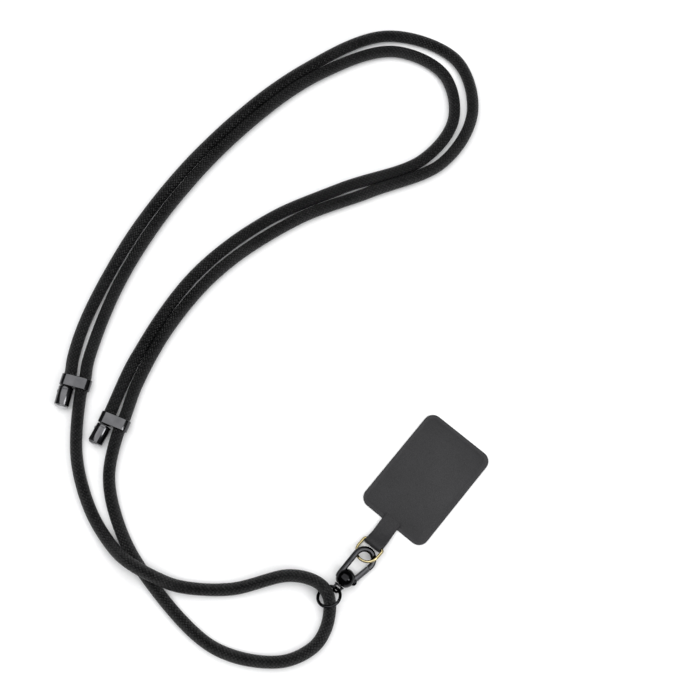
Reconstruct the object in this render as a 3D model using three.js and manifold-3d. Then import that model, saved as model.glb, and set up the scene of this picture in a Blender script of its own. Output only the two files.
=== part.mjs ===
// A phone strap: one long braided cord with its caps and adjusters, a swivelling snap hook,
// a D-ring and the thin card that goes between a phone and its case.
// Millimetres, +Z up, the table at z = 0. +Y runs along the hook, from the cord to the card.
import * as THREE from 'three';
import { mergeVertices } from 'three/addons/utils/BufferGeometryUtils.js';
import Module from 'manifold-3d';

const wasm = await Module();
wasm.setup();

// Driving dimensions
const GAP = 0.3;

const cord = { diameter: 5.8, sides: 12, longestStep: 29 };

const adjuster = {
  wall: 0.6,
  depth: 5.6,
  holePitch: 7.6,
  sideFlat: 0.4,
  edge: 0.2,
  left: { at: [-162.4, -10.9], turn: 25 },
  right: { at: [-134.7, -13.4], turn: 17.5 },
};

const cap = {
  diameter: 7.3,
  length: 9.2,
  crown: 1.4,
  edge: 0.45,
  leftBend: 2,
  rightBend: -4.5,
  screwDiameter: 1.5,
  screwStands: 0.2,
  screwFromMouth: 2.6,
};

const ball = { radius: 4.6, seat: 3.9, seatWall: 1 };

const swivel = {
  postDiameter: 2,
  headDiameter: 3,
  headLength: 1.4,
  collarDiameter: 5.2,
  collarLength: 0.8,
  wire: 1.2,
  eyeWidth: 4,
  eyeLeg: 0.9,
  turn: 38,
};

const ring = { radius: 5.4, wire: 1.5, tilt: 28, highSide: -26 };

const hook = {
  roll: 24,
  reach: 18.6,
  armMiddle: 3.8,
  bendRadius: 5,
  armWidth: 2.7,
  armThickness: 2.3,
  armCorner: 0.8,
  pin: { at: [3.8, 0.9], diameter: 1.2, length: 5 },
  lug: { diameter: 3.2, length: 4.6 },
};

const gate = {
  width: 2.4,
  thickness: 2,
  barrel: 3.1,
  tip: [5.9, 10.4],
  tipSlant: 72,
  grooveWidth: 0.9,
  grooveDepth: 0.35,
  opening: 28,
};

const dRing = {
  wire: 1.4,
  innerWidth: 9.7,
  depth: 9.9,
  barAside: 0.3,
  barPastHook: 2.55,
  barHeight: 3,
  pitch: 9.5,
  lean: 14,
};

const patch = {
  leather: 0.9,
  tabWidth: 9.1,
  tabLength: 12.35,
  tabLevelEnd: 1,
  cardWidth: 38,
  cardLength: 56,
  cardThickness: 1,
  cardCorner: 5,
};

// Sizes that follow from the driving dimensions
const cordRadius = cord.diameter / 2;
const holeRadius = cordRadius + GAP;
const adjusterHeight = 2 * (holeRadius + adjuster.wall);
const adjusterRise = adjusterHeight / 2;
const adjusterCorner = (adjusterHeight - adjuster.sideFlat) / 2;
const adjusterWidth = adjuster.holePitch + 2 * (holeRadius + adjuster.wall);
const ballHeight = ball.radius;
const barAt = [dRing.barAside, hook.reach + dRing.barPastHook, dRing.barHeight];
const cardStart = barAt[1] + patch.tabLength;
const tabHole = dRing.wire / 2 + GAP;
const tabRoll = tabHole + patch.leather;
const bendCentre = [
  hook.bendRadius - hook.armMiddle,
  hook.reach - hook.bendRadius - hook.armWidth / 2,
];
const degrees = THREE.MathUtils.degToRad;
const gateLean = Math.atan2(gate.tip[0] - hook.pin.at[0], gate.tip[1] - hook.pin.at[1]);

// Where the free cord lies between its adjusters, measured from the ball's centre, with its
// height above the table. A scratch program fitted the points to the line in the photograph,
// and some were then moved or added by hand.
const neckOutside = [
  [-172.2, -2.3, 2.9],
  [-181.1, 18.1, 2.9],
  [-192.9, 70.0, 2.9],
  [-194.5, 128.2, 2.9],
  [-184.1, 187.2, 2.9],
  [-162.0, 231.8, 2.9],
  [-125.7, 244.0, 2.9],
  [-100.5, 225.9, 2.9],
  [-95.2, 194.6, 2.9],
  [-113.8, 158.4, 2.9],
  [-133.1, 123.4, 2.9],
  [-145.9, 79.3, 2.9],
  [-146.2, 41.7, 2.9],
  [-139.2, 8.5, 2.9],
];
const throughRing = [
  [-118.9, -35.1, 2.9],
  [-98.8, -49.9, 2.9],
  [-74.4, -59.0, 2.9],
  [-27.0, -63.7, 2.9],
  [0.8, -49.0, 2.9],
  [8.6, -34.3, 2.9],
  [8.0, -24.8, 2.9],
  [4.0, -16.5, 3.1],
  [-0.5, -11.7, 5.5],
  [-6.0, -9.9, 7.8],
  [-12.5, -11.0, 7.6],
  [-21.9, -16.6, 5.6],
  [-38.7, -38.3, 2.9],
  [-57.7, -52.5, 4.8],
  [-69.1, -56.6, 8.8],
  [-85.1, -59.4, 8.8],
  [-97.2, -58.4, 4.8],
  [-115.6, -52.4, 2.9],
  [-138.2, -37.2, 2.9],
];
const neckInside = [
  [-165.3, 1.0, 2.9],
  [-179.9, 39.2, 2.9],
  [-187.9, 86.4, 2.9],
  [-186.9, 142.1, 2.9],
  [-176.2, 190.9, 2.9],
  [-154.2, 226.8, 2.9],
  [-125.7, 233.4, 2.9],
  [-105.8, 216.8, 2.9],
  [-104.2, 189.0, 2.9],
  [-126.2, 151.0, 2.9],
  [-145.1, 111.9, 2.9],
  [-153.9, 67.2, 2.9],
  [-148.3, 17.6, 2.9],
];

// Materials
const material = (color, roughness, metalness) =>
  new THREE.MeshStandardMaterial({ color, roughness, metalness });
const finishes = {
  braid: material('#141414', 0.85, 0),
  blackNickel: material('#1b1b1d', 0.22, 1),
  gold: material('#c9b078', 0.25, 1),
  leather: material('#2b2a2c', 0.7, 0),
};

// Solids
function toSolid(geometry) {
  const bare = new THREE.BufferGeometry();
  bare.setAttribute('position', geometry.getAttribute('position').clone());
  if (geometry.index) bare.setIndex(geometry.index.clone());
  const merged = mergeVertices(bare, 1e-4);
  return new wasm.Manifold(new wasm.Mesh({
    numProp: 3,
    vertProperties: new Float32Array(merged.getAttribute('position').array),
    triVerts: new Uint32Array(merged.index.array),
  }));
}

function toGeometry(solid) {
  const mesh = solid.getMesh();
  const geometry = new THREE.BufferGeometry();
  geometry.setAttribute('position', new THREE.BufferAttribute(mesh.vertProperties, 3));
  geometry.setIndex(new THREE.BufferAttribute(mesh.triVerts, 1));
  geometry.computeVertexNormals();
  return geometry;
}

const unite = (geometries) => wasm.Manifold.union(geometries.map(toSolid));
const vector = (x, y, z = 0) => new THREE.Vector3(x, y, z);

function roundShape(radius, sides, target = new THREE.Shape()) {
  for (let i = 0; i < sides; i += 1) {
    const turn = (2 * Math.PI * i) / sides;
    const corner = [radius * Math.cos(turn), radius * Math.sin(turn)];
    if (i === 0) target.moveTo(...corner);
    else target.lineTo(...corner);
  }
  target.closePath();
  return target;
}

function roundedRectangle(width, height, corner) {
  const x = width / 2 - corner;
  const y = height / 2 - corner;
  const shape = new THREE.Shape();
  shape.absarc(x, y, corner, 0, Math.PI / 2);
  shape.absarc(-x, y, corner, Math.PI / 2, Math.PI);
  shape.absarc(-x, -y, corner, Math.PI, 1.5 * Math.PI);
  shape.absarc(x, -y, corner, 1.5 * Math.PI, 2 * Math.PI);
  shape.closePath();
  return shape;
}

// A curve that an extrusion follows from one station to the next, however far apart they are.
class StationCurve extends THREE.Curve {
  constructor(stations) {
    super();
    this.stations = stations;
  }

  get last() {
    return this.stations.length - 1;
  }

  getPointAt(share, target = new THREE.Vector3()) {
    return target.copy(this.stations[Math.round(share * this.last)]);
  }

  getTangentAt(share, target = new THREE.Vector3()) {
    const i = Math.round(share * this.last);
    const before = this.stations[Math.max(i - 1, 0)];
    const after = this.stations[Math.min(i + 1, this.last)];
    return target.subVectors(after, before).normalize();
  }
}

function sweep(section, stations, curveSegments = 4) {
  const path = new StationCurve(stations);
  return new THREE.ExtrudeGeometry(section, {
    extrudePath: path,
    steps: path.last,
    bevelEnabled: false,
    curveSegments,
  });
}

// A cylinder between two points.
function rod(from, to, radius, sides = 16) {
  const along = to.clone().sub(from);
  const geometry = new THREE.CylinderGeometry(radius, radius, along.length(), sides);
  const turn = new THREE.Quaternion().setFromUnitVectors(vector(0, 1), along.normalize());
  geometry.applyQuaternion(turn);
  geometry.translate((from.x + to.x) / 2, (from.y + to.y) / 2, (from.z + to.z) / 2);
  return geometry;
}

function sphereAt(centre, radius, sides) {
  return new THREE.SphereGeometry(radius, sides, sides / 2).translate(centre.x, centre.y, centre.z);
}

function arc(centre, radius, fromAngle, toAngle, steps) {
  return Array.from({ length: steps + 1 }, (_, i) => {
    const angle = degrees(fromAngle + ((toAngle - fromAngle) * i) / steps);
    return vector(centre[0] + radius * Math.cos(angle), centre[1] + radius * Math.sin(angle));
  });
}

function named(name, geometry, finish) {
  const mesh = new THREE.Mesh(geometry, finish);
  mesh.name = name;
  return mesh;
}

// Adjusters and end caps
function adjusterFrame(side) {
  const turn = degrees(side.turn);
  return {
    centre: vector(...side.at, adjusterRise),
    across: vector(Math.cos(turn), Math.sin(turn)),
    along: vector(-Math.sin(turn), Math.cos(turn)),
  };
}

// The point on a hole's middle line: hole is -1 or 1, and forward is measured up the strap.
function inHole(side, hole, forward) {
  const { centre, across, along } = adjusterFrame(side);
  return centre
    .clone()
    .addScaledVector(across, (hole * adjuster.holePitch) / 2)
    .addScaledVector(along, forward);
}

function makeAdjuster(name, side) {
  const outline = roundedRectangle(adjusterWidth, adjusterHeight, adjusterCorner);
  for (const hole of [-1, 1]) {
    const path = roundShape(holeRadius / Math.cos(Math.PI / 20), 20, new THREE.Path());
    const shifted = path.getPoints().map((p) => p.setX(p.x + (hole * adjuster.holePitch) / 2));
    outline.holes.push(new THREE.Path(shifted));
  }
  const geometry = new THREE.ExtrudeGeometry(outline, {
    depth: adjuster.depth - 2 * adjuster.edge,
    bevelThickness: adjuster.edge,
    bevelSize: adjuster.edge,
    bevelOffset: -adjuster.edge,
    bevelSegments: 2,
    curveSegments: 5,
  });
  geometry.translate(0, 0, adjuster.edge - adjuster.depth / 2);
  geometry.rotateX(Math.PI / 2);
  geometry.rotateZ(degrees(side.turn));
  const mesh = named(name, toGeometry(toSolid(geometry)), finishes.blackNickel);
  mesh.position.copy(adjusterFrame(side).centre);
  return mesh;
}

// A cap bends away from its hole's middle line, and droops until its far end is on the table.
// Its mouth and the cord's end stand off so far that the tilted faces keep their gap.
const capDroop = Math.asin((adjusterRise - cap.diameter / 2) / cap.length);
const capTilt = (bend) => Math.acos(Math.cos(degrees(bend)) * Math.cos(capDroop));
const capMouth = (bend) => adjuster.depth / 2 + 1.3 * GAP + (cap.diameter / 2) * Math.sin(capTilt(bend));
const cordEnd = (bend) => capMouth(bend) - 1.3 * GAP - cordRadius * Math.sin(capTilt(bend));

function makeCap(name, side, bend) {
  const radius = cap.diameter / 2;
  const profile = [
    [0, 0],
    [radius - cap.edge / 2, 0],
    [radius, cap.edge / 2],
    [radius, cap.length - cap.edge],
    [radius - cap.edge * 0.3, cap.length - cap.edge * 0.3],
    [radius - cap.edge, cap.length],
    [radius * 0.66, cap.length + cap.crown * 0.5],
    [radius * 0.35, cap.length + cap.crown * 0.87],
    [0, cap.length + cap.crown],
  ].map(([x, y]) => new THREE.Vector2(x, y));
  const screwReach = radius + cap.screwStands;
  const screw = new THREE.CylinderGeometry(cap.screwDiameter / 2, cap.screwDiameter / 2, screwReach, 12);
  screw.rotateZ(Math.PI / 2).translate(screwReach / 2, cap.screwFromMouth, 0);
  const geometry = toGeometry(unite([new THREE.LatheGeometry(profile, 28), screw]));
  const mouth = inHole(side, -1, -capMouth(bend));
  const { along } = adjusterFrame(side);
  const away = along.clone().negate().applyAxisAngle(vector(0, 0, 1), degrees(bend));
  away.multiplyScalar(Math.cos(capDroop)).setZ(-Math.sin(capDroop));
  const mesh = named(name, geometry, finishes.blackNickel);
  const sideways = vector(0, 0, 1).cross(away).normalize().negate();
  const upward = sideways.clone().cross(away);
  mesh.quaternion.setFromRotationMatrix(new THREE.Matrix4().makeBasis(sideways, away, upward));
  mesh.position.copy(mouth);
  return mesh;
}

// The cord
function cordPoints() {
  const { left, right } = adjuster;
  const free = (rows) => rows.map((row) => vector(...row));
  const out = adjuster.depth / 2 + 2 * GAP;
  return [
    inHole(left, -1, -cordEnd(cap.leftBend)),
    inHole(left, -1, out),
    ...free(neckOutside),
    inHole(right, 1, out),
    inHole(right, 1, -out),
    ...free(throughRing),
    inHole(left, 1, -out),
    inHole(left, 1, out),
    ...free(neckInside),
    inHole(right, -1, out),
    inHole(right, -1, -cordEnd(cap.rightBend)),
  ];
}

function makeCord() {
  const points = cordPoints();
  const route = new THREE.CatmullRomCurve3(points, false, 'centripetal');
  const spans = points.length - 1;
  const stations = [];
  for (let span = 0; span < spans; span += 1) {
    const steps = Math.ceil(points[span].distanceTo(points[span + 1]) / cord.longestStep);
    for (let step = 0; step < steps; step += 1) {
      stations.push(route.getPoint((span + step / steps) / spans));
    }
  }
  stations.push(points[spans]);
  for (const station of stations) station.z = Math.max(station.z, cordRadius);
  const geometry = sweep(roundShape(cordRadius, cord.sides), stations);
  return named('cord', toGeometry(toSolid(geometry)), finishes.braid);
}

// The swivel eye, with its headed post inside the ball
const collarTop = -ball.seat - GAP;
const collarFoot = collarTop - swivel.collarLength;
const eyeCentre = collarFoot - swivel.eyeLeg;
const wireInEye = eyeCentre - swivel.eyeWidth / 2 + swivel.wire / 2 + ring.wire / 2 + GAP;

function makeSwivelEye() {
  const post = swivel.postDiameter / 2;
  const head = swivel.headDiameter / 2;
  const headFoot = -ball.seat + ball.seatWall + GAP;
  const profile = [
    [0, collarFoot],
    [swivel.collarDiameter / 2 - 0.2, collarFoot],
    [swivel.collarDiameter / 2, collarFoot + 0.2],
    [swivel.collarDiameter / 2, collarTop],
    [post, collarTop],
    [post, headFoot],
    [head, headFoot],
    [head, headFoot + swivel.headLength],
    [0, headFoot + swivel.headLength],
  ].map(([x, y]) => new THREE.Vector2(x, y));
  const radius = swivel.eyeWidth / 2;
  const root = collarFoot + swivel.collarLength / 2;
  const bow = [vector(radius, root), ...arc([0, eyeCentre], radius, 0, -180, 14), vector(-radius, root)];
  const eye = sweep(roundShape(swivel.wire / 2, 12), bow);
  const geometry = toGeometry(unite([new THREE.LatheGeometry(profile, 22), eye]));
  const mesh = named('swivel_eye', geometry, finishes.blackNickel);
  mesh.rotation.y = degrees(swivel.turn);
  mesh.position.z = ballHeight;
  return mesh;
}

// The ring hangs in the eye, with its far side over the cord.
function ringPlace() {
  const high = degrees(ring.highSide);
  const tilt = degrees(ring.tilt);
  const normal = vector(-Math.sin(tilt) * Math.cos(high), -Math.sin(tilt) * Math.sin(high), Math.cos(tilt));
  const towardEye = vector(0, 1).addScaledVector(normal, -normal.y).normalize();
  const centre = vector(0, wireInEye, ballHeight).addScaledVector(towardEye, -ring.radius);
  return { normal, centre, front: centre.y - ring.radius * towardEye.y - ring.wire / 2 };
}

function makeRing() {
  const { normal, centre } = ringPlace();
  const geometry = new THREE.TorusGeometry(ring.radius, ring.wire / 2, 12, 40);
  const mesh = named('strap_ring', toGeometry(toSolid(geometry)), finishes.blackNickel);
  mesh.quaternion.setFromUnitVectors(vector(0, 0, 1), normal);
  mesh.position.copy(centre);
  return mesh;
}

// The hook's body is drawn flat about the ball's centre, then rolled.
function makeBall() {
  const bore = swivel.postDiameter / 2 + GAP;
  const room = swivel.headDiameter / 2 + GAP;
  const roomFoot = -ball.seat + ball.seatWall;
  const roomTop = roomFoot + swivel.headLength + 2 * GAP;
  const seatRadius = Math.sqrt(ball.radius ** 2 - ball.seat ** 2);
  const seatAngle = Math.atan2(-ball.seat, seatRadius);
  const steps = 16;
  const outside = Array.from({ length: steps + 1 }, (_, i) => {
    const angle = seatAngle + ((Math.PI / 2 - seatAngle) * i) / steps;
    return [i === steps ? 0 : ball.radius * Math.cos(angle), ball.radius * Math.sin(angle)];
  });
  const inside = [[0, roomTop], [room, roomTop], [room, roomFoot], [bore, roomFoot], [bore, -ball.seat]];
  const profile = [...inside, ...outside].map(([x, y]) => new THREE.Vector2(x, y));
  return new THREE.LatheGeometry(profile, 30);
}

// The room that the gate needs in the ball, from its barrel to its left side when it is open.
function makeGateSlot() {
  const [pinX, pinY] = hook.pin.at;
  const room = gate.barrel / 2 + 1.2 * GAP;
  const clear = gate.width / 2 + 1.2 * GAP;
  const swing = gateLean - degrees(gate.opening);
  const openSide = (along) => [
    pinX + along * Math.sin(swing) - clear * Math.cos(swing),
    pinY + along * Math.cos(swing) + clear * Math.sin(swing),
  ];
  const reach = ball.radius * 1.5;
  const outline = new THREE.Shape([
    [pinX - room, pinY - room],
    [pinX + reach, pinY - room],
    [pinX + reach, pinY + reach],
    openSide(reach),
    openSide(gate.width / 2),
    [pinX - room, pinY],
  ].map(([x, y]) => new THREE.Vector2(x, y)));
  const height = gate.thickness + 2 * GAP;
  return new THREE.ExtrudeGeometry(outline, { depth: height, bevelEnabled: false })
    .translate(0, 0, -height / 2);
}

function gateEndCut(side) {
  const size = 10;
  const slant = degrees(gate.tipSlant);
  const offset = (size / 2 - GAP / 2) * side;
  return new THREE.BoxGeometry(size, size, size)
    .translate(offset, 0, 0)
    .rotateZ(slant)
    .translate(gate.tip[0], gate.tip[1], 0);
}

function makeHookBody() {
  const section = roundedRectangle(hook.armThickness, hook.armWidth, hook.armCorner);
  const left = -hook.armMiddle;
  const towardPin = vector(-Math.sin(gateLean), -Math.cos(gateLean));
  const noseFoot = vector(...gate.tip).addScaledVector(towardPin, 2);
  const path = [
    vector(left + 0.5, -1.6),
    vector(left + 0.1, -0.4),
    vector(left, 1.2),
    ...arc(bendCentre, hook.bendRadius, 180, 0, 20),
    noseFoot,
  ];
  const arms = toSolid(sweep(section, path, 3)).subtract(toSolid(gateEndCut(-1)));
  const lugEnd = vector(0, 0, hook.lug.length / 2);
  const pinAt = vector(...hook.pin.at);
  const lug = rod(pinAt.clone().sub(lugEnd), pinAt.clone().add(lugEnd), hook.lug.diameter / 2, 20);
  const slotted = unite([makeBall(), lug]).subtract(toSolid(makeGateSlot()));
  const half = hook.pin.length / 2;
  const pin = rod(vector(...hook.pin.at, -half), vector(...hook.pin.at, half), hook.pin.diameter / 2);
  const solid = wasm.Manifold.union([arms, slotted, toSolid(pin)]);
  return named('hook_body', toGeometry(solid), finishes.blackNickel);
}

function makeGate() {
  const start = vector(...hook.pin.at);
  const end = vector(...gate.tip);
  const length = start.distanceTo(end) + 2;
  const halfWidth = gate.width / 2;
  const halfThickness = gate.thickness / 2;
  const groove = gate.grooveWidth / 2;
  const edge = 0.3;
  const side = [
    [halfWidth, -halfThickness + edge],
    [halfWidth, halfThickness - edge],
    [halfWidth - edge, halfThickness],
    [groove, halfThickness],
    [groove / 2, halfThickness - gate.grooveDepth],
    [-groove / 2, halfThickness - gate.grooveDepth],
    [-groove, halfThickness],
    [-halfWidth + edge, halfThickness],
    [-halfWidth, halfThickness - edge],
    [-halfWidth, -halfThickness + edge],
    [-halfWidth + edge, -halfThickness],
    [halfWidth - edge, -halfThickness],
  ].map(([x, y]) => new THREE.Vector2(x, y));
  const bar = new THREE.ExtrudeGeometry(new THREE.Shape(side), { depth: length, bevelEnabled: false });
  bar.rotateX(-Math.PI / 2).rotateZ(-gateLean).translate(start.x, start.y, 0);
  const barrel = new THREE.CylinderGeometry(gate.barrel / 2, gate.barrel / 2, gate.thickness, 24);
  barrel.rotateX(Math.PI / 2).translate(start.x, start.y, 0);
  const bore = hook.pin.diameter / 2 + GAP;
  const hole = rod(start.clone().setZ(-4), start.clone().setZ(4), bore, 20);
  const solid = unite([bar, barrel]).subtract(toSolid(hole)).subtract(toSolid(gateEndCut(1)));
  return named('hook_gate', toGeometry(solid), finishes.blackNickel);
}

// The D-ring
function makeDRing() {
  const radius = dRing.wire / 2;
  const half = dRing.innerWidth / 2 + radius;
  const side = dRing.depth - half;
  const bow = [vector(half, 0), ...arc([0, -side], half, 0, -180, 24), vector(-half, 0)];
  const bar = rod(vector(-half, 0), vector(half, 0), radius, 14);
  const corners = [-half, half].map((x) => sphereAt(vector(x, 0), radius * 1.04, 12));
  const solid = unite([sweep(roundShape(radius, 14), bow), bar, ...corners]);
  const mesh = named('d_ring', toGeometry(solid), finishes.gold);
  const leaned = new THREE.Quaternion().setFromAxisAngle(vector(0, 1), degrees(-dRing.lean));
  const pitched = new THREE.Quaternion().setFromAxisAngle(vector(1, 0), degrees(-dRing.pitch));
  mesh.quaternion.multiplyQuaternions(leaned, pitched);
  mesh.position.set(...barAt);
  return mesh;
}

// The tab is folded round the D-ring's bar. It leans with the bar and levels out at the card.
function makePatch() {
  const [barX, barY, barZ] = barAt;
  const layers = 2 * patch.leather;
  const tail = cardStart + 3;
  const shape = new THREE.Shape();
  const steps = 10;
  const topStart = [barY + tabRoll * Math.sin(0.2), barZ + tabRoll * Math.cos(0.2)];
  const footStart = [barY + tabRoll * Math.sin(0.25), barZ - tabRoll * Math.cos(0.25)];
  const topHeight = (share) => THREE.MathUtils.lerp(layers, topStart[1], (1 - share) ** 2);
  const footHeight = (share) => Math.max(0, footStart[1] * (1 - 1.25 * share));
  shape.moveTo(...topStart);
  for (const bend of arc([barY, barZ], tabRoll, 90, 270, 16)) shape.lineTo(bend.x, bend.y);
  shape.lineTo(...footStart);
  for (let i = 1; i <= steps; i += 1) {
    const share = i / steps;
    shape.lineTo(THREE.MathUtils.lerp(footStart[0], tail, share), footHeight(share));
  }
  for (let i = steps; i >= 1; i -= 1) {
    const share = i / steps;
    shape.lineTo(THREE.MathUtils.lerp(topStart[0], tail, share), topHeight(share));
  }
  const hole = roundShape(tabHole / Math.cos(Math.PI / 18), 18, new THREE.Path());
  const moved = hole.getPoints().map((p) => new THREE.Vector2(p.x + barY, p.y + barZ));
  shape.holes.push(new THREE.Path(moved));
  const tab = new THREE.ExtrudeGeometry(shape, { depth: patch.tabWidth, bevelEnabled: false });
  tab.rotateY(Math.PI / 2).rotateX(Math.PI / 2).translate(-patch.tabWidth / 2, 0, 0);
  const place = tab.getAttribute('position');
  for (let i = 0; i < place.count; i += 1) {
    const levelAt = cardStart - patch.tabLevelEnd;
    const level = THREE.MathUtils.smoothstep(place.getY(i), barY + tabRoll, levelAt);
    const lean = degrees(dRing.lean) * (1 - level);
    const x = place.getX(i);
    const rise = place.getZ(i) - barZ;
    place.setX(i, barX * (1 - level) + x * Math.cos(lean) - rise * Math.sin(lean));
    place.setZ(i, Math.max(0, barZ + x * Math.sin(lean) + rise * Math.cos(lean)));
  }
  const outline = roundedRectangle(patch.cardWidth, patch.cardLength, patch.cardCorner);
  const card = new THREE.ExtrudeGeometry(outline, {
    depth: patch.cardThickness,
    bevelEnabled: false,
    curveSegments: 8,
  });
  card.translate(0, cardStart + patch.cardLength / 2, 0);
  return named('tether_patch', toGeometry(unite([tab, card])), finishes.leather);
}

// Assembly
const hookGroup = new THREE.Group();
hookGroup.add(makeHookBody(), makeGate());
hookGroup.rotation.y = degrees(hook.roll);
hookGroup.position.z = ballHeight;

const strap = new THREE.Group();
strap.add(
  makeCord(),
  makeAdjuster('adjuster_left', adjuster.left),
  makeAdjuster('adjuster_right', adjuster.right),
  makeCap('end_cap_left', adjuster.left, cap.leftBend),
  makeCap('end_cap_right', adjuster.right, cap.rightBend),
  makeRing(),
  makeSwivelEye(),
  hookGroup,
  makeDRing(),
  makePatch(),
);

// The origin is on the table, half way between the ring's front and the card's far edge.
const cardEnd = cardStart + patch.cardLength;
strap.position.y = -(ringPlace().front + cardEnd) / 2;

export default strap;
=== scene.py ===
import math

import bmesh
import bpy
import numpy as np
from mathutils import Matrix, Vector


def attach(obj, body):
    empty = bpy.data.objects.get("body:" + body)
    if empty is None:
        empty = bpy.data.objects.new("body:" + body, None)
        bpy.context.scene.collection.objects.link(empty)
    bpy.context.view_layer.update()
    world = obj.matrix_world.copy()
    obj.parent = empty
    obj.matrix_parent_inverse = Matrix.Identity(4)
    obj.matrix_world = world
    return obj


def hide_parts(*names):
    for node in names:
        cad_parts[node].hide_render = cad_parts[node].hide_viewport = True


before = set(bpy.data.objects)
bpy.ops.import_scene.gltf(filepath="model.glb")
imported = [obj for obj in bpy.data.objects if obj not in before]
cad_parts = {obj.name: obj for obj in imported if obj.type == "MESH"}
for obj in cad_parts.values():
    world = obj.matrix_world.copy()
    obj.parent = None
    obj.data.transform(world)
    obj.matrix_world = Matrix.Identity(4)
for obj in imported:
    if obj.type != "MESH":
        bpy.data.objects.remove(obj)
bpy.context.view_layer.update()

# Sizes that several pieces share: the ball's centre is in metres, all else in millimetres
MM = 0.001
BALL = Vector((0, -0.0359656, 0.0046))
BALL_RADIUS = 4.6
CORD_RADIUS = 2.9
GAP = 0.3

# Camera: a steep view, with the strap's hook running up and to the right
TARGET = Vector((-0.0695, 0.0521, 0))
camera_data = bpy.data.cameras.new("camera")
camera_data.sensor_width = 36
camera_data.lens = 65.3
camera_data.clip_start = 0.01
camera_data.dof.use_dof = False
camera = bpy.data.objects.new("camera", camera_data)
camera.location = TARGET + Vector((0.0969, -0.1180, 0.6125))
camera.rotation_euler = (TARGET - camera.location).to_track_quat("-Z", "Y").to_euler()
bpy.context.scene.collection.objects.link(camera)
bpy.context.scene.camera = camera


# Mesh building, in millimetres
def make_object(name, points, faces, material, uv=None, sharp=35, bevel=0):
    mesh = bpy.data.meshes.new(name)
    mesh.from_pydata([tuple(p * MM for p in point) for point in points], [], faces)
    if uv is not None:
        layer = mesh.uv_layers.new(name="along")
        layer.data.foreach_set("uv", np.asarray(uv, np.float32).ravel())
    bm = bmesh.new()
    bm.from_mesh(mesh)
    bmesh.ops.recalc_face_normals(bm, faces=bm.faces)
    bm.to_mesh(mesh)
    bm.free()
    mesh.shade_smooth()
    mesh.set_sharp_from_angle(angle=math.radians(sharp))
    mesh.materials.append(material)
    piece = bpy.data.objects.new(name, mesh)
    bpy.context.scene.collection.objects.link(piece)
    if bevel:
        rounding = piece.modifiers.new("rounded edges", "BEVEL")
        rounding.width = bevel * MM
        rounding.segments = 3
        rounding.angle_limit = math.radians(sharp)
        rounding.harden_normals = True
    return piece


def circle(radius, sides):
    turn = np.arange(sides) * 2 * math.pi / sides
    return np.stack([radius * np.cos(turn), radius * np.sin(turn)], axis=1)


def rounded_box(width, height, corner, steps=6):
    """The corners of a rounded rectangle, in order."""
    out = []
    for quarter, (sx, sy) in enumerate(((1, 1), (-1, 1), (-1, -1), (1, -1))):
        for i in range(steps + 1):
            turn = math.pi / 2 * (quarter + i / steps)
            out.append((
                sx * (width / 2 - corner) + corner * math.cos(turn),
                sy * (height / 2 - corner) + corner * math.sin(turn),
            ))
    return np.array(out)


def arc(centre, radius, start, end, steps):
    turn = np.radians(np.linspace(start, end, steps + 1))
    return [(centre[0] + radius * math.cos(t), centre[1] + radius * math.sin(t), 0) for t in turn]


def frames_along(line, first_normal, closed=False):
    """Two directions across the line at each of its points, turned as little as can be."""
    if closed:
        ahead = np.roll(line, -1, axis=0) - np.roll(line, 1, axis=0)
    else:
        ahead = np.gradient(line, axis=0)
    ahead /= np.linalg.norm(ahead, axis=1)[:, None]
    normals = np.zeros_like(line)
    normal = np.array(first_normal, float)
    for i, forward in enumerate(ahead):
        normal = normal - forward * normal.dot(forward)
        normal /= np.linalg.norm(normal)
        normals[i] = normal
    return normals, np.cross(ahead, normals)


def sweep(line, section, first_normal=(0, 0, 1), closed=False, grow=None):
    """A section carried along a line: its points, its faces and its uv, turns by millimetres."""
    line = np.array(line, float)
    section = np.array(section, float)
    normals, sides = frames_along(line, first_normal, closed)
    grow = np.ones((len(line), len(section))) if grow is None else grow
    across = section[None, :, :, None] * grow[:, :, None, None]
    points = line[:, None] + across[:, :, 0] * normals[:, None] + across[:, :, 1] * sides[:, None]
    rings, count = len(line), len(section)
    along = np.concatenate([[0], np.cumsum(np.linalg.norm(np.diff(line, axis=0), axis=1))])
    faces, uv = [], []
    for i in range(rings if closed else rings - 1):
        k = (i + 1) % rings
        low = along[i]
        high = along[k] if k else along[-1] + np.linalg.norm(line[0] - line[-1])
        for j in range(count):
            m = (j + 1) % count
            faces.append((i * count + j, i * count + m, k * count + m, k * count + j))
            uv += [
                (j / count, low),
                ((j + 1) / count, low),
                ((j + 1) / count, high),
                (j / count, high),
            ]
    if not closed:
        faces.append(tuple(range(count))[::-1])
        faces.append(tuple((rings - 1) * count + j for j in range(count)))
        uv += [(0, 0)] * (2 * count)
    return points.reshape(-1, 3), faces, uv


def lathe(profile, sides):
    """A profile of (radius, height) turned round +Y. Its first and last points are on the axis."""
    points, faces = [], []
    inner = profile[1:-1]
    points.append((0, profile[0][1], 0))
    for radius, height in inner:
        for j in range(sides):
            turn = 2 * math.pi * j / sides
            points.append((radius * math.cos(turn), height, radius * math.sin(turn)))
    points.append((0, profile[-1][1], 0))
    last = len(points) - 1
    top = last - sides
    for j in range(sides):
        k = (j + 1) % sides
        faces.append((0, 1 + j, 1 + k))
        faces.append((last, top + k, top + j))
    for i in range(len(inner) - 1):
        for j in range(sides):
            k = (j + 1) % sides
            base = 1 + i * sides
            faces.append((base + j, base + k, base + sides + k, base + sides + j))
    return points, faces, None


def together(*parts):
    """Several closed forms as the points and faces of one mesh."""
    points, faces = [], []
    for part in parts:
        start = len(points)
        points += [tuple(p) for p in part[0]]
        faces += [tuple(start + i for i in face) for face in part[1]]
    return points, faces


def moved(part, place):
    """The same form with its points placed by a matrix in millimetres."""
    return [tuple(place @ Vector(p)) for p in part[0]], part[1], part[2]


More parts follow.
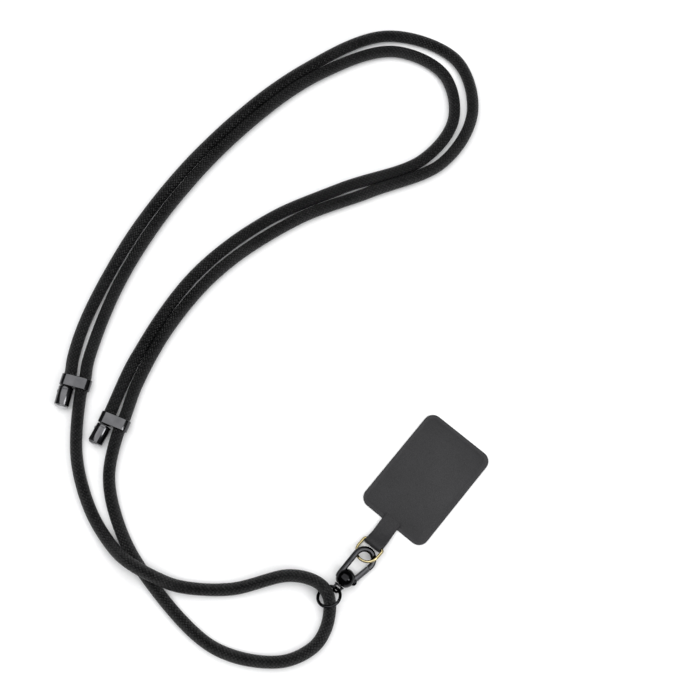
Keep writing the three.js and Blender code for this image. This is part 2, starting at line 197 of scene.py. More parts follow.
def prism(outline, low, high):
    """A flat outline in x and y, raised from low to high."""
    count = len(outline)
    points = [(x, y, low) for x, y in outline] + [(x, y, high) for x, y in outline]
    faces = [tuple(range(count))[::-1], tuple(range(count, 2 * count))]
    faces += [(i, (i + 1) % count, count + (i + 1) % count, count + i) for i in range(count)]
    return points, faces, None


def cut_away(piece, points, faces):
    """Cuts a closed form out of a piece."""
    tool = make_object("tool", points, faces, piece.data.materials[0])
    step = piece.modifiers.new("cut", "BOOLEAN")
    step.operation = "DIFFERENCE"
    step.solver = "EXACT"
    step.object = tool
    bpy.context.view_layer.update()
    shape = piece.evaluated_get(bpy.context.evaluated_depsgraph_get())
    mesh = bpy.data.meshes.new_from_object(shape)
    piece.modifiers.remove(step)
    piece.data = mesh
    mesh.set_sharp_from_angle(angle=math.radians(35))
    bpy.data.objects.remove(tool)


# Materials
class Shader:
    """A material under construction, with short calls for its nodes."""

    def __init__(self, name):
        self.material = bpy.data.materials.new(name)
        self.material.use_nodes = True
        self.tree = self.material.node_tree
        self.surface = self.tree.nodes["Principled BSDF"]

    def node(self, kind, links=None, **settings):
        made = self.tree.nodes.new("ShaderNode" + kind)
        for key, value in settings.items():
            setattr(made, key, value)
        for key, value in (links or {}).items():
            self.put(made.inputs[key], value)
        return made

    def put(self, socket, value):
        if isinstance(value, bpy.types.NodeSocket):
            self.tree.links.new(value, socket)
        else:
            socket.default_value = value

    def math(self, operation, first, second=0.0, third=0.0):
        return self.node("Math", {0: first, 1: second, 2: third}, operation=operation).outputs[0]

    def noise(self, where, scale, detail=4.0, roughness=0.5):
        links = {"Vector": where, "Scale": scale, "Detail": detail, "Roughness": roughness}
        return self.node("TexNoise", links).outputs["Fac"]

    def ramp(self, value, low, high, to_low, to_high):
        links = {"Value": value, 1: low, 2: high, 3: to_low, 4: to_high}
        return self.node("MapRange", links).outputs[0]

    def blend(self, share, first, second):
        made = self.node("Mix", data_type="RGBA")
        self.put(made.inputs["Factor"], share)
        self.put(made.inputs[6], first)
        self.put(made.inputs[7], second)
        return made.outputs[2]

    def bump(self, height, distance, strength=1.0, normal=None):
        made = self.node("Bump", {"Height": height, "Distance": distance, "Strength": strength})
        if normal is not None:
            self.tree.links.new(normal, made.inputs["Normal"])
        return made.outputs[0]

    def place(self):
        return self.node("TexCoord").outputs["Object"]

    def finish(self, **values):
        for key, value in values.items():
            self.put(self.surface.inputs[key.replace("_", " ")], value)
        return self.material


def braid_material():
    """Round braid: strands wound both ways, each over one and under the next, with painted shade in the
    gaps between them.
    """
    s = Shader("braid")
    strands, pitch = 10, 1.9
    across = s.node("SeparateXYZ", {0: s.node("TexCoord").outputs["UV"]})
    turns = s.math("MULTIPLY", across.outputs[0], strands * math.pi)
    length = s.math("MULTIPLY", across.outputs[1], math.pi / pitch)
    wind_a = s.math("ADD", turns, length)
    wind_b = s.math("SUBTRACT", turns, length)
    sine_a = s.math("SINE", wind_a)
    sine_b = s.math("SINE", wind_b)
    over = s.math("MULTIPLY", s.math("MULTIPLY", sine_a, sine_b), 0.8)
    strand_a = s.math("ADD", s.math("ABSOLUTE", sine_a), over)
    strand_b = s.math("SUBTRACT", s.math("ABSOLUTE", sine_b), over)
    height = s.math("SMOOTH_MAX", strand_a, strand_b, 0.15)
    a_is_over = s.math("GREATER_THAN", strand_a, strand_b)
    thread_a = s.math("SINE", s.math("MULTIPLY", wind_a, 5.0))
    thread_b = s.math("SINE", s.math("MULTIPLY", wind_b, 5.0))
    a_minus_b = s.math("SUBTRACT", thread_a, thread_b)
    threads = s.math("ADD", thread_b, s.math("MULTIPLY", a_is_over, a_minus_b))
    place = s.place()
    fuzz = s.noise(place, 2600.0, 3.0)
    worn = s.noise(place, 55.0, 5.0, 0.6)
    raised = s.math("ADD", height, s.math("MULTIPLY", threads, 0.07))
    normal = s.bump(s.math("ADD", raised, s.math("MULTIPLY", fuzz, 0.2)), 0.0004, 1.0)
    # Painted shade: the colour goes nearly black where the strands sink low, in the gaps between them
    painted_gap_shade = s.ramp(height, 0.7, 1.5, 0.0, 1.0)
    wear = s.ramp(worn, 0.35, 0.7, 0.0, 1.0)
    strand = s.blend(wear, (0.004, 0.004, 0.0042, 1), (0.022, 0.022, 0.0226, 1))
    colour = s.blend(painted_gap_shade, (0.0001, 0.0001, 0.0001, 1), strand)
    rough = s.ramp(worn, 0.3, 0.7, 0.4, 0.52)
    return s.finish(
        Base_Color=colour,
        Roughness=rough,
        Normal=normal,
        Specular_IOR_Level=0.32,
    )


def plated_material(name, colour, worn_colour, rough, rough_worn):
    """Plated metal with a fine ripple, faint handling marks and lighter edges."""
    s = Shader(name)
    place = s.place()
    ripple = s.noise(place, 260.0, 3.0)
    marks = s.noise(place, 1500.0, 6.0, 0.65)
    smudge = s.noise(place, 120.0, 4.0, 0.6)
    edge = s.ramp(s.node("NewGeometry").outputs["Pointiness"], 0.52, 0.58, 0.0, 0.6)
    handled = s.blend(s.ramp(smudge, 0.4, 0.7, 0.0, 0.5), colour, worn_colour)
    shade = s.blend(edge, handled, worn_colour)
    dull = s.math("ADD", s.math("MULTIPLY", marks, 0.4), smudge)
    gloss = s.ramp(dull, 0.45, 0.95, rough, rough_worn)
    fine = s.bump(marks, 0.000006, 0.5)
    normal = s.bump(ripple, 0.00008, 0.35, fine)
    return s.finish(Base_Color=shade, Metallic=1.0, Roughness=gloss, Normal=normal)


def leather_material(name, colour, light_colour, grain_scale, grain_depth):
    """Matte leather: rounded pebbles parted by creases, with pores and a little shade."""
    s = Shader(name)
    place = s.place()
    wobble = s.node("TexNoise", {"Vector": place, "Scale": grain_scale * 0.4, "Detail": 2.0})
    shift = s.node("VectorMath", {0: wobble.outputs["Color"], "Scale": 0.0006}, operation="SCALE")
    bent = s.node("VectorMath", {0: place, 1: shift.outputs[0]}, operation="ADD")
    grain = {"Vector": bent.outputs[0], "Scale": grain_scale}
    cells = s.node("TexVoronoi", grain, feature="DISTANCE_TO_EDGE")
    pebble = s.ramp(cells.outputs["Distance"], 0.0, 0.28, 0.0, 1.0)
    pores = s.noise(place, grain_scale * 3.5, 4.0)
    shade = s.noise(place, 90.0, 4.0)
    height = s.math("ADD", pebble, s.math("MULTIPLY", pores, 0.3))
    tone = s.ramp(s.math("ADD", s.math("MULTIPLY", pebble, 0.35), shade), 0.35, 1.0, 0.0, 1.0)
    return s.finish(
        Base_Color=s.blend(tone, colour, light_colour),
        Roughness=s.ramp(pebble, 0.0, 1.0, 0.72, 0.52),
        Normal=s.bump(height, grain_depth, 0.7),
        Specular_IOR_Level=0.4,
    )


BRAID = braid_material()
NICKEL = plated_material(
    "black nickel", (0.057, 0.057, 0.060, 1), (0.108, 0.107, 0.111, 1), 0.09, 0.18
)
DARK = plated_material(
    "dark nickel", (0.011, 0.011, 0.0118, 1), (0.034, 0.034, 0.036, 1), 0.08, 0.16
)
SATIN = plated_material("satin nickel", (0.52, 0.52, 0.53, 1), (0.6, 0.6, 0.61, 1), 0.34, 0.46)
GOLD = plated_material("pale gold", (0.31, 0.255, 0.125, 1), (0.50, 0.425, 0.25, 1), 0.1, 0.2)
LEATHER = leather_material(
    "tab leather", (0.007, 0.0068, 0.0077, 1), (0.016, 0.0155, 0.0172, 1), 2100.0, 0.00006
)
CARD = leather_material(
    "card", (0.0135, 0.0133, 0.0145, 1), (0.020, 0.0197, 0.0215, 1), 1900.0, 0.00005
)

# Adjusters: the middle of each from the ball's centre, its turn and its cap's bend in degrees
ADJUSTERS = {"left": (-162.4, -10.9, 25.0, 2.0), "right": (-134.7, -13.4, 17.5, -4.5)}
ADJUSTER_DEPTH = 5.6
ADJUSTER_WALL = 0.6
SIDE_FLAT = 0.4
HOLE_PITCH = 7.6
HOLE_RADIUS = CORD_RADIUS + GAP
ADJUSTER_RISE = HOLE_RADIUS + ADJUSTER_WALL
ADJUSTER_WIDTH = HOLE_PITCH + 2 * ADJUSTER_RISE
CAP_RADIUS = 3.65
CAP_LENGTH = 9.2
CAP_CROWN = 1.4
MOUTH_GAP = 1.3 * GAP
CAP_DROOP = math.asin((ADJUSTER_RISE - CAP_RADIUS) / CAP_LENGTH)


def from_ball(x, y, z):
    """A point measured from the ball's centre and from the table, in metres."""
    return Vector((x * MM, y * MM + BALL.y, z * MM))


def in_hole(side, hole, forward):
    """A point on a hole's middle line: hole is -1 or 1, and forward is measured up the strap."""
    x, y, turn, _ = ADJUSTERS[side]
    turn = math.radians(turn)
    out = hole * HOLE_PITCH / 2
    return from_ball(
        x + out * math.cos(turn) - forward * math.sin(turn),
        y + out * math.sin(turn) + forward * math.cos(turn),
        ADJUSTER_RISE,
    )


def cap_mouth(side):
    """How far the cap's mouth, and the cord's end in it, are from the adjuster's middle."""
    bend = math.radians(ADJUSTERS[side][3])
    tilt = math.acos(math.cos(bend) * math.cos(CAP_DROOP))
    mouth = ADJUSTER_DEPTH / 2 + MOUTH_GAP + CAP_RADIUS * math.sin(tilt)
    return mouth, mouth - MOUTH_GAP - CORD_RADIUS * math.sin(tilt)


# The cord's route, in metres from the ball's centre and from the table. A scratch program fitted
# its points to the line in the photograph, and some were then moved or added by hand
NECK_OUTSIDE = [
    (-0.1722, -0.0023, 0.0029),
    (-0.1811, 0.0181, 0.0029),
    (-0.1929, 0.0700, 0.0029),
    (-0.1945, 0.1282, 0.0029),
    (-0.1841, 0.1872, 0.0029),
    (-0.1620, 0.2318, 0.0029),
    (-0.1257, 0.2440, 0.0029),
    (-0.1005, 0.2259, 0.0029),
    (-0.0952, 0.1946, 0.0029),
    (-0.1138, 0.1584, 0.0029),
    (-0.1331, 0.1234, 0.0029),
    (-0.1459, 0.0793, 0.0029),
    (-0.1462, 0.0417, 0.0029),
    (-0.1392, 0.0085, 0.0029),
]
THROUGH_RING = [
    (-0.1189, -0.0351, 0.0029),
    (-0.0988, -0.0499, 0.0029),
    (-0.0744, -0.0590, 0.0029),
    (-0.0270, -0.0637, 0.0029),
    (0.0008, -0.0490, 0.0029),
    (0.0086, -0.0343, 0.0029),
    (0.0080, -0.0248, 0.0029),
    (0.0040, -0.0165, 0.0031),
    (-0.0005, -0.0117, 0.0055),
    (-0.0060, -0.0099, 0.0078),
    (-0.0125, -0.0110, 0.0076),
    (-0.0219, -0.0166, 0.0056),
    (-0.0387, -0.0383, 0.0029),
    (-0.0577, -0.0525, 0.0048),
    (-0.0691, -0.0566, 0.0088),
    (-0.0851, -0.0594, 0.0088),
    (-0.0972, -0.0584, 0.0048),
    (-0.1156, -0.0524, 0.0029),
    (-0.1382, -0.0372, 0.0029),
]
NECK_INSIDE = [
    (-0.1653, 0.0010, 0.0029),
    (-0.1799, 0.0392, 0.0029),
    (-0.1879, 0.0864, 0.0029),
    (-0.1869, 0.1421, 0.0029),
    (-0.1762, 0.1909, 0.0029),
    (-0.1542, 0.2268, 0.0029),
    (-0.1257, 0.2334, 0.0029),
    (-0.1058, 0.2168, 0.0029),
    (-0.1042, 0.1890, 0.0029),
    (-0.1262, 0.1510, 0.0029),
    (-0.1451, 0.1119, 0.0029),
    (-0.1539, 0.0672, 0.0029),
    (-0.1483, 0.0176, 0.0029),
]


def route_points():
    """The cord's whole route, from the left cap to the right one."""
    def free(rows):
        return [Vector((x, y + BALL.y, z)) for x, y, z in rows]

    out = ADJUSTER_DEPTH / 2 + 2 * GAP
    points = [in_hole("left", -1, -cap_mouth("left")[1]), in_hole("left", -1, out)]
    points += free(NECK_OUTSIDE)
    points += [in_hole("right", 1, out), in_hole("right", 1, -out)]
    points += free(THROUGH_RING)
    points += [in_hole("left", 1, -out), in_hole("left", 1, out)]
    points += free(NECK_INSIDE)
    points += [in_hole("right", -1, out), in_hole("right", -1, -cap_mouth("right")[1])]
    return np.array([tuple(p) for p in points])


def smooth_line(points, step):
    """A centripetal curve through the points, with stations a step apart."""
    ends = [2 * points[0] - points[1], *points, 2 * points[-1] - points[-2]]
    line = []
    for before, start, end, after in zip(ends, ends[1:], ends[2:], ends[3:]):
        spans = ((before, start), (start, end), (end, after))
        first, middle, last = [np.sum((b - a) ** 2) ** 0.25 for a, b in spans]
        pace = (end - start) / middle
        leave = (start - before) / first - (end - before) / (first + middle) + pace
        arrive = pace - (after - start) / (middle + last) + (after - end) / last
        leave, arrive = leave * middle, arrive * middle
        t = np.linspace(0, 1, 80, endpoint=False)[:, None]
        square = -3 * start + 3 * end - 2 * leave - arrive
        cube = 2 * start - 2 * end + leave + arrive
        line.append(start + leave * t + square * t**2 + cube * t**3)
    line = np.concatenate([*line, points[-1:]])
    line[:, 2] = np.maximum(line[:, 2], CORD_RADIUS * MM)
    along = np.concatenate([[0], np.cumsum(np.linalg.norm(np.diff(line, axis=0), axis=1))])
    stations = np.linspace(0, along[-1], int(round(along[-1] / step)) + 1)
    even = np.stack([np.interp(stations, along, line[:, i]) for i in range(3)], axis=1)
    return even, along[-1]


def make_cord():
    """The cord lies a little flattened, with a faint unevenness along it."""
    line, length = smooth_line(route_points(), 0.9 * MM)
    sides = 32
    turn = np.arange(sides) * 2 * math.pi / sides
    along = np.linspace(0, length, len(line))[:, None]
    soft = 0.010 * np.sin(along * 210 + 1.3 * np.sin(along * 37)) * np.sin(2 * turn + along * 24)
    flatter = 0.04 * np.sin(turn) ** 2
    grow = 1 + soft - 0.012 + flatter
    points, faces, uv = sweep(line / MM, circle(CORD_RADIUS, sides), grow=grow)
    return make_object("braided_cord", points, faces, BRAID, uv, sharp=80), line, length


# Adjusters and caps
def make_adjuster(side):
    """A block with round ends, rounded edges and two round holes, lying across the cord."""
    x, y, turn, _ = ADJUSTERS[side]
    edge = 0.26
    outline = bpy.data.curves.new("outline", "CURVE")
    outline.dimensions = "2D"
    outline.fill_mode = "BOTH"
    outline.extrude = (ADJUSTER_DEPTH / 2 - edge) * MM
    outline.bevel_depth = edge * MM
    outline.bevel_resolution = 4
    outline.offset = -edge * MM
    corner = ADJUSTER_RISE - SIDE_FLAT / 2
    rings = [rounded_box(ADJUSTER_WIDTH, 2 * ADJUSTER_RISE, corner, 14)]
    rings += [circle(HOLE_RADIUS, 48) + np.array((s * HOLE_PITCH / 2, 0)) for s in (-1, 1)]
    for ring in rings:
        spline = outline.splines.new("POLY")
        spline.points.add(len(ring) - 1)
        spline.use_cyclic_u = True
        for point, (px, py) in zip(spline.points, ring):
            point.co = (px * MM, py * MM, 0, 1)
    shape = bpy.data.objects.new("outline", outline)
    bpy.context.scene.collection.objects.link(shape)
    bpy.context.view_layer.update()
    shape_now = shape.evaluated_get(bpy.context.evaluated_depsgraph_get())
    mesh = bpy.data.meshes.new_from_object(shape_now)
    bpy.data.objects.remove(shape)
    place = Matrix.Translation(from_ball(x, y, ADJUSTER_RISE))
    place = place @ Matrix.Rotation(math.radians(turn), 4, "Z")
    place = place @ Matrix.Rotation(math.pi / 2, 4, "X")
    mesh.transform(place)
    bm = bmesh.new()
    bm.from_mesh(mesh)
    bmesh.ops.remove_doubles(bm, verts=bm.verts, dist=1e-6)
    bmesh.ops.recalc_face_normals(bm, faces=bm.faces)
    bm.to_mesh(mesh)
    bm.free()
    mesh.shade_smooth()
    mesh.set_sharp_from_angle(angle=math.radians(28))
    mesh.materials.clear()
    mesh.materials.append(NICKEL)
    piece = bpy.data.objects.new(side + "_adjuster", mesh)
    bpy.context.scene.collection.objects.link(piece)
    return piece


def make_cap(side):
    """A turned cap with a lip at its mouth, a crowned far end and a set screw in its side."""
    _, _, turn, bend = ADJUSTERS[side]
    r, n = CAP_RADIUS, CAP_LENGTH
    profile = [(0, 0), (r - 0.35, 0), (r - 0.12, 0.08), (r, 0.3)]
    profile += [(r, 1.05), (r - 0.1, 1.15), (r - 0.1, 1.35), (r, 1.45)]
    profile += [(r, n - 0.12), (r - 0.05, n - 0.02), (r - 0.18, n + 0.04)]
    body = lathe([*profile, (0, n + 0.04)], 72)
    crown = [(r - 0.18, n + 0.02)]
    rise = CAP_CROWN - 0.06
    for t in np.radians(range(8, 90, 9)):
        crown.append(((r - 0.3) * math.cos(t), n + 0.06 + rise * math.sin(t)))
    end = lathe([(0, n - 0.1), (r - 0.18, n - 0.1), *crown, (0, n + CAP_CROWN)], 72)
    screw = [(0, 0), (0.75, 0), (0.75, r + 0.12), (0.67, r + 0.2)]
    screw += [(0.42, r + 0.2), (0.38, r + 0.02), (0, r + 0.02)]
    screw_from_mouth = Matrix.Translation((0, 2.6, 0))
    screw = moved(lathe(screw, 28), screw_from_mouth @ Matrix.Rotation(-math.pi / 2, 4, "Z"))
    heading = math.radians(turn + bend)
    away = Vector((math.sin(heading), -math.cos(heading), 0))
    away = away * math.cos(CAP_DROOP) + Vector((0, 0, -math.sin(CAP_DROOP)))
    sideways = away.cross(Vector((0, 0, 1))).normalized()
    upward = sideways.cross(away)
    basis = Matrix((sideways, away, upward)).transposed().to_4x4()
    place = Matrix.Translation(in_hole(side, -1, -cap_mouth(side)[0]) / MM) @ basis
    return [
        make_object(side + "_cap", *moved(body, place)[:2], NICKEL, sharp=30),
        make_object(side + "_cap_end", *moved(end, place)[:2], SATIN, sharp=50),
        make_object(side + "_cap_screw", *moved(screw, place)[:2], NICKEL),
    ]


# The ring and the swivel's eye
RING_RADIUS, RING_WIRE, RING_TILT, RING_HIGH = 5.4, 1.5, 28.0, -26.0
SEAT, SEAT_WALL, COLLAR, EYE_WIDTH, EYE_WIRE, EYE_LEG = 3.9, 1.0, 0.8, 4.0, 1.2, 0.9
POST_RADIUS, HEAD_RADIUS, HEAD_LENGTH, COLLAR_RADIUS = 1.0, 1.5, 1.4, 2.6
COLLAR_TOP = -SEAT - GAP
COLLAR_FOOT = COLLAR_TOP - COLLAR
EYE_CENTRE = COLLAR_FOOT - EYE_LEG
EYE_TURN, HOOK_ROLL = 38.0, 24.0


def at_ball(roll):
    """The place of what is drawn flat about the ball's centre and rolled about the hook's axis."""
    return Matrix.Translation(BALL / MM) @ Matrix.Rotation(math.radians(roll), 4, "Y")


def make_ring():
    """A round wire ring through the swivel's eye, with a small dent where its ends meet."""
    high, tilt = math.radians(RING_HIGH), math.radians(RING_TILT)
    slope = -math.sin(tilt)
    normal = Vector((slope * math.cos(high), slope * math.sin(high), math.cos(tilt)))
    to_eye = (Vector((0, 1, 0)) - normal * normal.y).normalized()
    wire_y = EYE_CENTRE - EYE_WIDTH / 2 + EYE_WIRE / 2 + RING_WIRE / 2 + GAP
    centre = Vector((0, wire_y, 0)) - to_eye * RING_RADIUS + BALL / MM
    side = normal.cross(to_eye)
    turns = np.linspace(0, 2 * math.pi, 144, endpoint=False)
    line = [tuple(centre + RING_RADIUS * (to_eye * math.cos(t) + side * math.sin(t))) for t in turns]
    grow = np.ones((len(line), 20))
    dent = 96
    grow[dent:dent + 3] = np.array((0.93, 0.86, 0.93))[:, None]
    points, faces, _ = sweep(line, circle(RING_WIRE / 2, 20), tuple(normal), closed=True, grow=grow)
    return make_object("round_ring", points, faces, DARK, sharp=50)


def make_eye():
    """The eye's bow, its collar, and the post and head that turn in the ball."""
    head_foot = -SEAT + SEAT_WALL + GAP
    r, foot, top = COLLAR_RADIUS, COLLAR_FOOT, COLLAR_TOP
    profile = [(0, foot), (r - 0.3, foot), (r - 0.1, foot + 0.06), (r, foot + 0.22)]
    profile += [(r, top - 0.15), (r - 0.12, top), (POST_RADIUS, top), (POST_RADIUS, head_foot)]
    profile += [(HEAD_RADIUS, head_foot), (HEAD_RADIUS, head_foot + HEAD_LENGTH)]
    profile += [(0, head_foot + HEAD_LENGTH)]
    root = COLLAR_FOOT + COLLAR / 2
    half = EYE_WIDTH / 2
    bow = [(half, root, 0), *arc((0, EYE_CENTRE), half, 0, -180, 40), (-half, root, 0)]
    loop = sweep(bow, circle(EYE_WIRE / 2, 20))
    place = at_ball(EYE_TURN)
    points, faces = together(moved(lathe(profile, 56), place), moved(loop, place))
    return make_object("swivel_loop", points, faces, DARK)


# The hook, drawn flat about the ball's centre
ARM_MIDDLE, BEND_RADIUS, REACH, ARM_WIDTH, ARM_THICKNESS = 3.8, 5.0, 18.6, 2.7, 2.3
BEND_CENTRE = (BEND_RADIUS - ARM_MIDDLE, REACH - BEND_RADIUS - ARM_WIDTH / 2)
PIN = Vector((3.8, 0.9, 0))
TIP = Vector((5.9, 10.4, 0))
SLANT = math.radians(72)
GATE_AHEAD = (TIP - PIN).normalized()
GATE_LEAN = math.atan2(GATE_AHEAD.x, GATE_AHEAD.y)
GATE_WIDTH, GATE_BARREL, GATE_OPENING = 2.4, 3.1, math.radians(28)
SLOT_HEIGHT, SLOT_GAP = 2.6, 1.2 * GAP


def onto_slant(point, forward, side):
    """Moves a point along forward until it lies on the slanted joint of the nose and the gate."""
    normal = Vector((math.cos(SLANT), math.sin(SLANT), 0))
    offset = side * GAP / 2 - (Vector(point) - TIP).dot(normal)
    return tuple(Vector(point) + forward * (offset / forward.dot(normal)))


def turned_about_z(profile, place, sides):
    """A turned form that stands on the hook's flat plane."""
    return moved(lathe(profile, sides), Matrix.Translation(place) @ Matrix.Rotation(math.pi / 2, 4, "X"))


def make_hook():
    """The hollow ball, the lug that holds the gate's pin, the arm with its bend, and the pin."""
    section = rounded_box(ARM_THICKNESS, ARM_WIDTH, 0.95, 7)
    left = -ARM_MIDDLE
    path = [(left + 0.5, -1.6, 0), (left + 0.22, -0.9, 0), (left + 0.06, -0.2, 0), (left, 0.6, 0)]
    path += [(left, y, 0) for y in (1.6, 3, 5, 7, 9, 11)]
    path += arc(BEND_CENTRE, BEND_RADIUS, 180, 0, 60)
    path += [tuple(TIP + GATE_AHEAD * d) for d in (1.0, 0.6)]
    points, faces, _ = sweep(path, section)
    points = [tuple(p) for p in points]
    count = len(section)
    points[-count:] = [onto_slant(p, -GATE_AHEAD, 1) for p in points[-count:]]
    r = BALL_RADIUS
    seat_radius = math.sqrt(r**2 - SEAT**2)
    seat_turn = math.atan2(-SEAT, seat_radius)
    turns = np.linspace(seat_turn + 0.05, math.pi / 2, 44)[:-1]
    bore, room = POST_RADIUS + GAP, HEAD_RADIUS + GAP
    foot = -SEAT + SEAT_WALL
    top = foot + HEAD_LENGTH + 2 * GAP
    profile = [(0, top), (room, top), (room, foot), (bore, foot), (bore, -SEAT)]
    profile += [(seat_radius - 0.12, -SEAT)]
    profile += [(r * math.cos(t), r * math.sin(t)) for t in turns]
    profile += [(0, r)]
    place = at_ball(HOOK_ROLL)
    slot = moved(gate_slot(), place)[:2]
    body = make_object("hook_ball", *moved(lathe(profile, 84), place)[:2], DARK)
    cut_away(body, *slot)
    lug = [(0, -2.3), (1.42, -2.3), (1.55, -2.24), (1.6, -2.1)]
    lug += [(radius, -height) for radius, height in lug[::-1]]
    lug = make_object("hook_lug", *moved(turned_about_z(lug, PIN, 48), place)[:2], DARK)
    cut_away(lug, *slot)
    arm = moved((points, faces, None), place)[:2]
    arm = make_object("hook_arm", *arm, DARK, sharp=40, bevel=0.18)
    pin = [(0, -2.5), (0.45, -2.5), (0.6, -2.4), (0.6, 2.4), (0.45, 2.5), (0, 2.5)]
    pin = make_object("gate_pin", *moved(turned_about_z(pin, PIN, 32), place)[:2], DARK)
    return [body, lug, arm, pin]


def gate_slot():
    """The room that the gate needs in the ball, from its barrel to its left side when it is open."""
    room, clear = GATE_BARREL / 2 + SLOT_GAP, GATE_WIDTH / 2 + SLOT_GAP
    swing = GATE_LEAN - GATE_OPENING

    def open_side(along):
        return (
            PIN.x + along * math.sin(swing) - clear * math.cos(swing),
            PIN.y + along * math.cos(swing) + clear * math.sin(swing),
        )

    far = 7.0
    outline = [(PIN.x - room, PIN.y - room), (PIN.x + far, PIN.y - room)]
    outline += [(PIN.x + far, PIN.y + far)]
    outline += [open_side(far), open_side(GATE_WIDTH / 2), (PIN.x - room, PIN.y)]
    return prism(outline, -SLOT_HEIGHT / 2, SLOT_HEIGHT / 2)


def make_gate():
    """The bar with its groove and rounded edges, and the barrel that turns on the pin."""
    w, h, e = GATE_WIDTH / 2, 1.0, 0.32
    turns = np.radians((0, 30, 60, 90))
    right_top = [(h - e + e * math.sin(t), w - e + e * math.cos(t)) for t in turns]
    groove = [(h, 0.5), (h - 0.1, 0.42), (h - 0.33, 0.3)]
    groove += [(z, -x) for z, x in groove[::-1]]
    left_top = [(z, -x) for z, x in right_top[::-1]]
    foot = [(-z, -x) for z, x in right_top] + [(-z, x) for z, x in right_top[::-1]]
    section = right_top + groove + left_top + foot
    reach = (TIP - PIN).length
    line = [tuple(PIN + GATE_AHEAD * d) for d in (0.95, 2.4, 4.0, 6.0, 8.0, reach - 0.6)]
    points, faces, _ = sweep(line, section)
    points = [tuple(p) for p in points]
    points[-len(section):] = [onto_slant(p, GATE_AHEAD, -1) for p in points[-len(section):]]
    place = at_ball(HOOK_ROLL)
    bar = make_object("gate_bar", *moved((points, faces, None), place)[:2], DARK)
    middle, r = 1.2, GATE_BARREL / 2
    barrel = [(r - 0.15, -h), (r, 0.15 - h), (r, h - 0.15), (r - 0.15, h)]
    barrel += [(0.95, h), (0.9, h - 0.05), (0.9, 0.05 - h), (0.95, -h)]
    section = [(z, radius - middle) for radius, z in barrel]
    line = arc(PIN.xy, middle, 0, 360, 56)[:-1]
    barrel = moved(sweep(line, section, closed=True), place)[:2]
    return [bar, make_object("gate_barrel", *barrel, DARK)]


# The D-ring and the tether
BAR = Vector((0.3, REACH + 2.55, 3.0))
D_WIRE, D_WIDTH, D_DEPTH, D_PITCH, D_LEAN = 1.4, 9.7, 9.9, 9.5, 14.0
LEATHER_THICK, TAB_WIDTH, TAB_ON_CARD = 0.9, 9.1, 3.0
TAB_HOLE = D_WIRE / 2 + GAP
TAB_ROLL = TAB_HOLE + LEATHER_THICK
CARD_START = BAR.y + 12.35
LEVEL_FROM = CARD_START - 1
# The tab's underside is this much higher than the card's, so that the two share no plane
TAB_LIFT = 0.05
# How far round the roll, in radians from straight down and straight up, its two layers leave it
ROLL_FOOT, ROLL_TOP = 0.25, 0.2


def make_d_ring():
    """A straight bar with small bent corners, two sides and a half-round bow."""
    r = D_WIRE / 2
    half = D_WIDTH / 2 + r
    side = D_DEPTH - half
    corner = 0.9
    line = [(x, 0, 0) for x in np.linspace(-half + corner, half - corner, 14)]
    line += arc((half - corner, -corner), corner, 90, 0, 8)[1:]
    line += [(half, y, 0) for y in np.linspace(-corner, -side, 5)[1:-1]]
    line += arc((0, -side), half, 0, -180, 64)
    line += [(-half, y, 0) for y in np.linspace(-side, -corner, 5)[1:-1]]
    line += arc((-half + corner, -corner), corner, 180, 90, 8)[:-1]
    part = sweep(line, circle(r, 24), closed=True)
    place = Matrix.Translation(BAR + Vector((0, BALL.y / MM, 0)))
    place = place @ Matrix.Rotation(math.radians(-D_LEAN), 4, "Y")
    place = place @ Matrix.Rotation(math.radians(-D_PITCH), 4, "X")
    points, faces, _ = moved(part, place)
    return make_object("gold_d_ring", points, faces, GOLD, sharp=60)


def smoothstep(value, low, high):
    t = min(max((value - low) / (high - low), 0), 1)
    return t * t * (3 - 2 * t)


def make_tab():
    """One strip of leather from the card, round the D-ring's bar and back."""
    thick = LEATHER_THICK
    middle = TAB_HOLE + thick / 2
    tail, start = CARD_START + TAB_ON_CARD, BAR.y + TAB_ROLL * math.sin(ROLL_FOOT)
    roll_low = BAR.z - TAB_ROLL * math.cos(ROLL_FOOT)
    roll_high = BAR.z + TAB_ROLL * math.cos(ROLL_TOP)
    end = 2 * thick + TAB_LIFT
    under, over = [], []
    for share in np.linspace(0, 1, 15):
        y = start + (tail - start) * share
        low = max(TAB_LIFT, roll_low * (1 - 1.25 * share))
        high = end + (roll_high - end) * (1 - share) ** 2
        under.append((y, low + thick / 2))
        over.append((y, high - thick / 2))
    bend = []
    for t in np.radians(np.arange(256, 94, -9)):
        bend.append((BAR.y + middle * math.cos(t), BAR.z + middle * math.sin(t)))
    line = under[::-1] + bend + over
    outline = rounded_box(thick, TAB_WIDTH, 0.28, 4)
    fine = []
    for (x0, y0), (x1, y1) in zip(outline, np.roll(outline, -1, axis=0)):
        parts = max(1, int(abs(y1 - y0) / 0.8))
        for i in range(parts):
            fine.append((x0 + (x1 - x0) * i / parts, y0 + (y1 - y0) * i / parts))
    points, faces, uv = sweep([(0, y, z) for y, z in line], fine)
    placed = []
    for x, y, z in points:
        share = 1 - smoothstep(y, BAR.y + TAB_ROLL, LEVEL_FROM)
        lean = math.radians(D_LEAN) * share
        rise = z - BAR.z
        placed.append((
            BAR.x * share + x * math.cos(lean) - rise * math.sin(lean),
            y + BALL.y / MM,
            max(TAB_LIFT, BAR.z + x * math.sin(lean) + rise * math.cos(lean)),
        ))
    return make_object("leather_tab", placed, faces, LEATHER, uv, sharp=50)


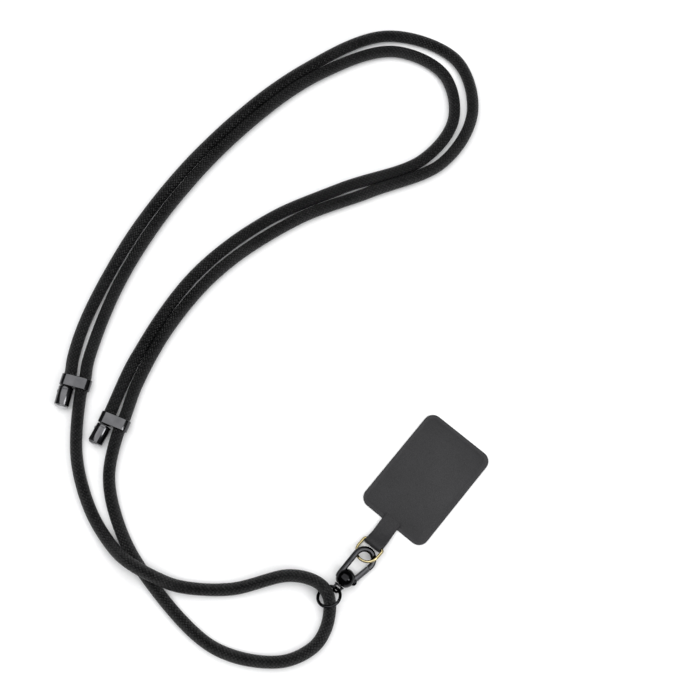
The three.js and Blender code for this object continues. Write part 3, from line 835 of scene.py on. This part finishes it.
def make_card():
    """A thin card with rounded corners and a pressed line round its edge."""
    width, length, thick, corner = 38.0, 56.0, 1.0, 5.0
    middle = CARD_START + length / 2 + BALL.y / MM
    levels = [
        (0.30, 0.0),
        (0.08, 0.08),
        (0.0, 0.3),
        (0.0, thick - 0.3),
        (0.08, thick - 0.08),
        (0.30, thick),
        (1.45, thick),
        (1.6, thick - 0.1),
        (1.85, thick - 0.1),
        (2.0, thick),
    ]
    rings = []
    for inset, z in levels:
        ring = rounded_box(width - 2 * inset, length - 2 * inset, corner - inset, 12)
        rings.append([(x, y + middle, z) for x, y in ring])
    count = len(rings[0])
    points = [p for ring in rings for p in ring]
    faces = [tuple(range(count))[::-1], tuple(range(len(points) - count, len(points)))]
    for i in range(len(rings) - 1):
        for j in range(count):
            k = (j + 1) % count
            faces.append((i * count + j, i * count + k, (i + 1) * count + k, (i + 1) * count + j))
    return make_object("tether_card", points, faces, CARD, sharp=40)


# The pieces, then the body, the solid and the material slot of each
cord, cord_line, cord_length = make_cord()
adjusters = [make_adjuster("left"), make_adjuster("right")]
caps = [make_cap("left"), make_cap("right")]
METAL = "black_nickel"
rows = [
    (cord, "strap", "cord", "braid"),
    (adjusters[0], "strap", "adjuster_left", METAL),
    (adjusters[1], "strap", "adjuster_right", METAL),
    *((piece, "strap", "end_cap_left", METAL) for piece in caps[0]),
    *((piece, "strap", "end_cap_right", METAL) for piece in caps[1]),
    (make_ring(), "strap", "strap_ring", METAL),
    (make_eye(), "strap", "swivel_eye", METAL),
    *((piece, "hook", "hook_body", METAL) for piece in make_hook()),
    *((piece, "gate", "hook_gate", METAL) for piece in make_gate()),
    (make_d_ring(), "hook", "d_ring", "gold"),
    (make_tab(), "hook", "tether_patch", "leather"),
    (make_card(), "hook", "tether_patch", "leather"),
]
for piece, body, node, slot in rows:
    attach(piece, body)
    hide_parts(node)


# Floor and light
def floor_material():
    s = Shader("floor")
    grain = s.noise(s.place(), 900.0, 3.0)
    tone = s.ramp(grain, 0.3, 0.7, 0.0, 1.0)
    return s.finish(
        Base_Color=s.blend(tone, (0.89, 0.89, 0.895, 1), (0.92, 0.92, 0.92, 1)),
        Roughness=0.75,
        Normal=s.bump(grain, 0.00002, 0.3),
    )


def area_light(name, place, aim, size, power):
    light = bpy.data.lights.new(name, "AREA")
    light.shape = "RECTANGLE"
    light.size, light.size_y = size
    light.energy = power
    lamp = bpy.data.objects.new(name, light)
    lamp.location = place
    lamp.rotation_euler = (Vector(aim) - Vector(place)).to_track_quat("-Z", "Y").to_euler()
    bpy.context.scene.collection.objects.link(lamp)


floor_mesh = bpy.data.meshes.new("floor")
floor_mesh.from_pydata([(-3, -3, 0), (3, -3, 0), (3, 3, 0), (-3, 3, 0)], [], [(0, 1, 2, 3)])
floor_mesh.materials.append(floor_material())
floor = bpy.data.objects.new("floor", floor_mesh)
bpy.context.scene.collection.objects.link(floor)

area_light("key", (0.8, 0.12, 0.8), (-0.06, 0.0, 0), (0.3, 0.45), 3.8)
area_light("top", (-0.27, 0.1, 1.15), (-0.27, 0.1, 0), (2.0, 1.5), 23.6)

world = bpy.data.worlds.new("studio")
world.use_nodes = True
sky = world.node_tree.nodes["Background"]
sky.inputs["Color"].default_value = (0.92, 0.95, 1.0, 1)
sky.inputs["Strength"].default_value = 0.1
bpy.context.scene.world = world
bpy.context.scene.view_settings.view_transform = "Standard"
